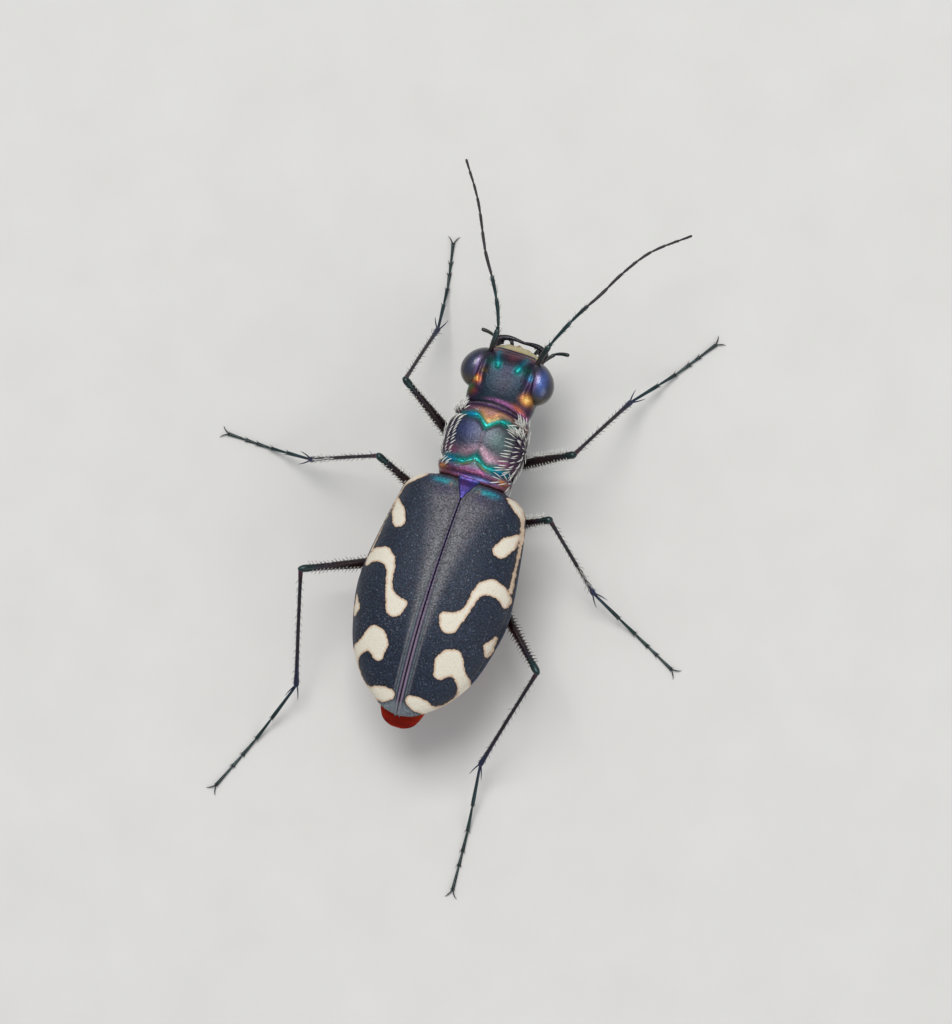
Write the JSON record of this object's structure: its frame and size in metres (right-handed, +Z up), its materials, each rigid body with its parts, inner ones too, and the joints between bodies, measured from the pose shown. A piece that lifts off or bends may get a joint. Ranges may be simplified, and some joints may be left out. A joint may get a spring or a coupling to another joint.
{
  "type": "tiger beetle",
  "caption": "Life-size tiger beetle standing on its six tarsi: dark elytra with cream bands, big eyes, sickle jaws, long legs and antennae.",
  "frame": {"origin": "on the floor, under the middle of the box round the whole beetle", "axes": "+Z up from the floor; the head faces -Y; the beetle's right side is towards -X"},
  "size_m": [0.017, 0.023, 0.0049],
  "materials": {
    "bronze_cuticle": "granular copper-bronze cuticle, green to blue in the grooves",
    "black_cuticle": "blackish purple cuticle with a copper and green sheen",
    "elytra": "matt charcoal navy with cream markings",
    "eye": "glossy grey-brown with a violet sheen",
    "cream_cuticle": "satin ivory",
    "red_abdomen": "glossy red-orange",
    "green_leg": "dark metallic teal green",
    "brown_antenna": "dull brown-black, finely downy",
    "white_hair": "stiff white to pale straw hairs"
  },
  "bodies": {
    "root": {"abdomen": "red_abdomen", "antenna_left_base": "green_leg", "antenna_left_whip": "brown_antenna", "antenna_right_base": "green_leg", "antenna_right_whip": "brown_antenna", "coxa_front_left": "black_cuticle", "coxa_front_right": "black_cuticle", "coxa_hind_left": "black_cuticle", "coxa_hind_right": "black_cuticle", "coxa_mid_left": "black_cuticle", "coxa_mid_right": "black_cuticle", "elytron_left": "elytra", "elytron_right": "elytra", "eye_left": "eye", "eye_right": "eye", "femur_front_left": "black_cuticle", "femur_front_right": "black_cuticle", "femur_hind_left": "black_cuticle", "femur_hind_right": "black_cuticle", "femur_mid_left": "black_cuticle", "femur_mid_right": "black_cuticle", "head": "bronze_cuticle", "labrum": "cream_cuticle", "mandible_left": "black_cuticle", "mandible_right": "black_cuticle", "palp_labial_left": "cream_cuticle", "palp_labial_right": "cream_cuticle", "palp_maxillary_left": "green_leg", "palp_maxillary_right": "green_leg", "pronotum": "bronze_cuticle", "scutellum": "bronze_cuticle", "tarsus_front_left": "green_leg", "tarsus_front_right": "green_leg", "tarsus_hind_left": "green_leg", "tarsus_hind_right": "green_leg", "tarsus_mid_left": "green_leg", "tarsus_mid_right": "green_leg", "thorax": "black_cuticle", "tibia_front_left": "black_cuticle", "tibia_front_right": "black_cuticle", "tibia_hind_left": "black_cuticle", "tibia_hind_right": "black_cuticle", "tibia_mid_left": "black_cuticle", "tibia_mid_right": "black_cuticle"}
  },
  "joints": []
}
